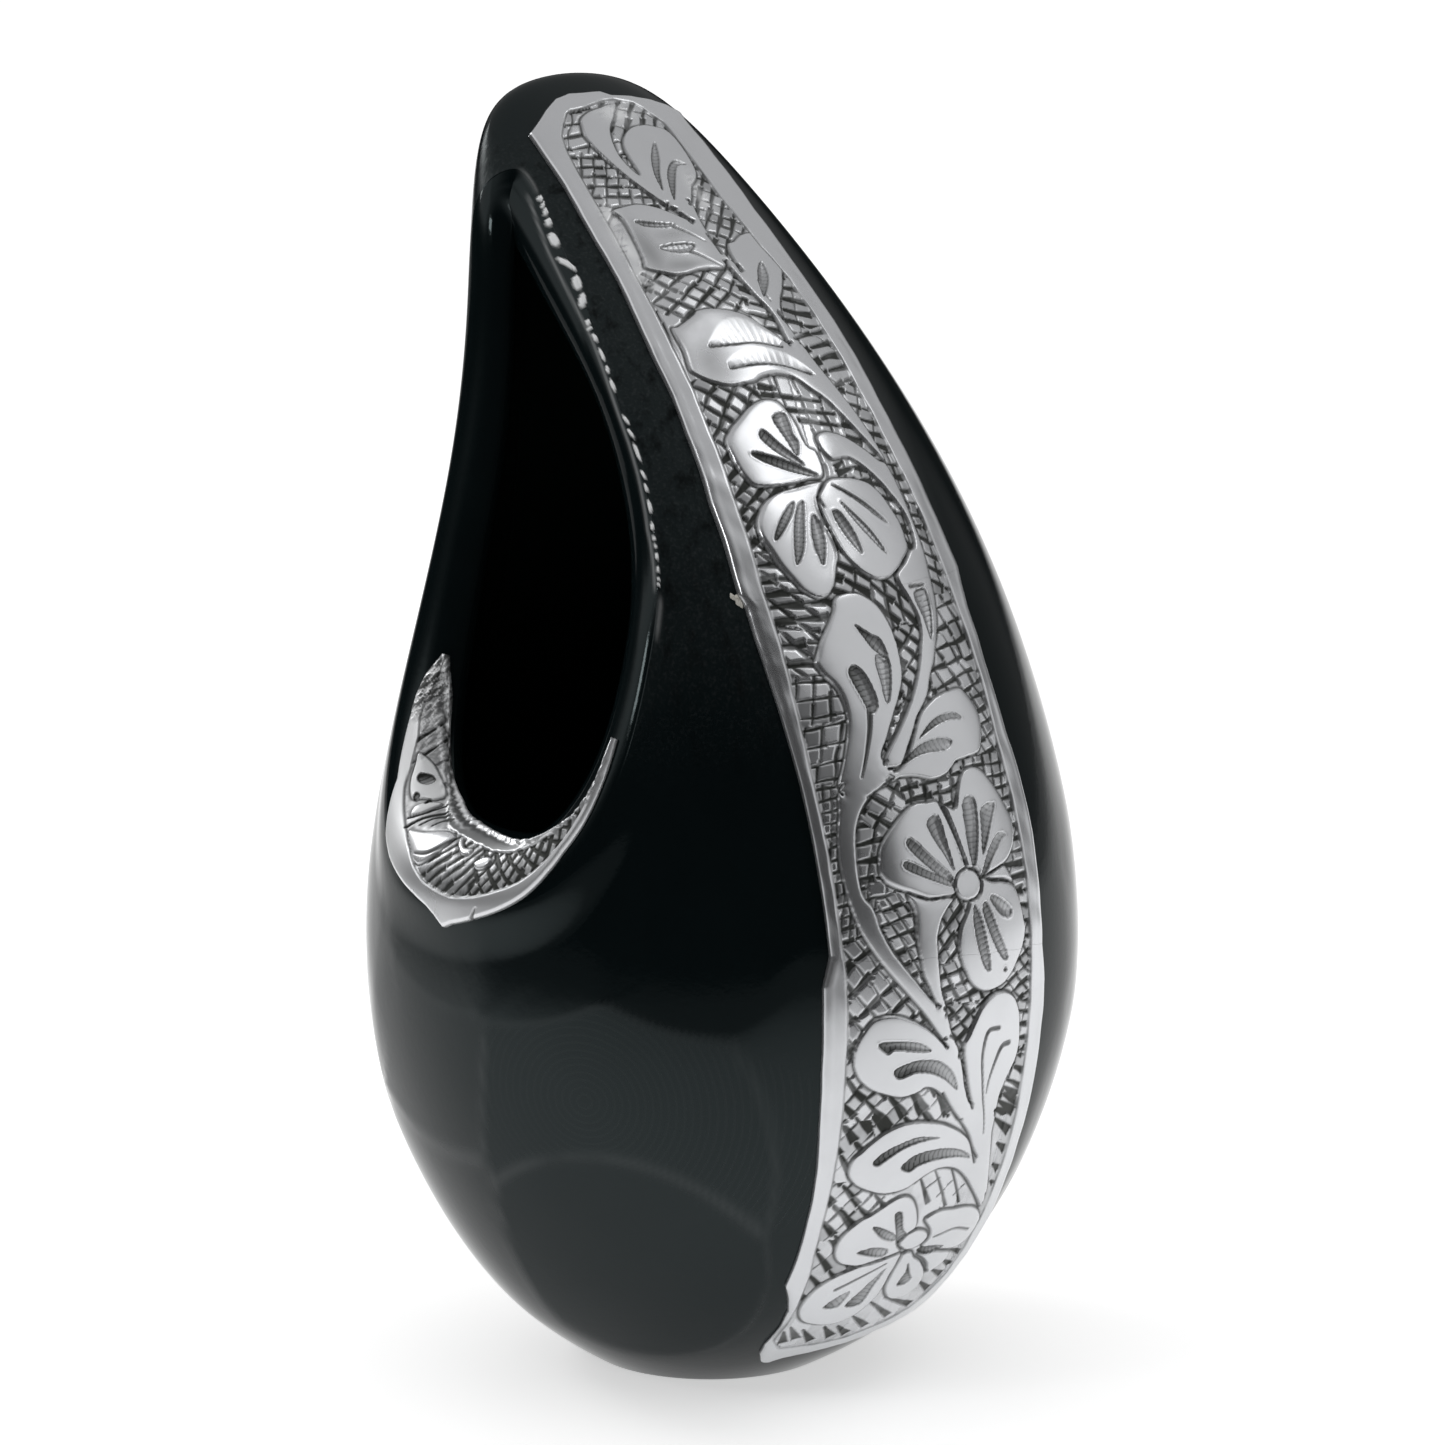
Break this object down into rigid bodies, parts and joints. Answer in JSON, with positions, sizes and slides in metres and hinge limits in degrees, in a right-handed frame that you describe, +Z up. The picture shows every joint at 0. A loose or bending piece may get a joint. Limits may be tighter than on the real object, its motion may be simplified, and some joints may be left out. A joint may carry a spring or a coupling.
{
  "type": "black clay pot",
  "caption": "Leaning teardrop pot of glossy black clay with a side mouth and rolled lip, with engraved metal sheets glued along the spine and on the lower lip.",
  "frame": {"origin": "centre of the flat foot", "axes": "+Z up from the foot to the peak, +X towards the metal spine, -Y out of the mouth"},
  "size_m": [0.1129, 0.1128, 0.1978],
  "materials": {
    "black_clay": "deep black clay with a smooth high gloss",
    "engraved_metal": "bright silver-coloured sheet, hand engraved, dark in the cuts",
    "adhesive": "thin off-white cement"
  },
  "bodies": {
    "root": {"clay_body": "black_clay", "spine_bed_lower": "adhesive", "spine_bed_middle": "adhesive", "spine_bed_upper": "adhesive", "lip_bed": "adhesive", "spine_sheet_lower": "engraved_metal", "spine_sheet_middle": "engraved_metal", "spine_sheet_upper": "engraved_metal", "lip_sheet": "engraved_metal"}
  },
  "joints": []
}
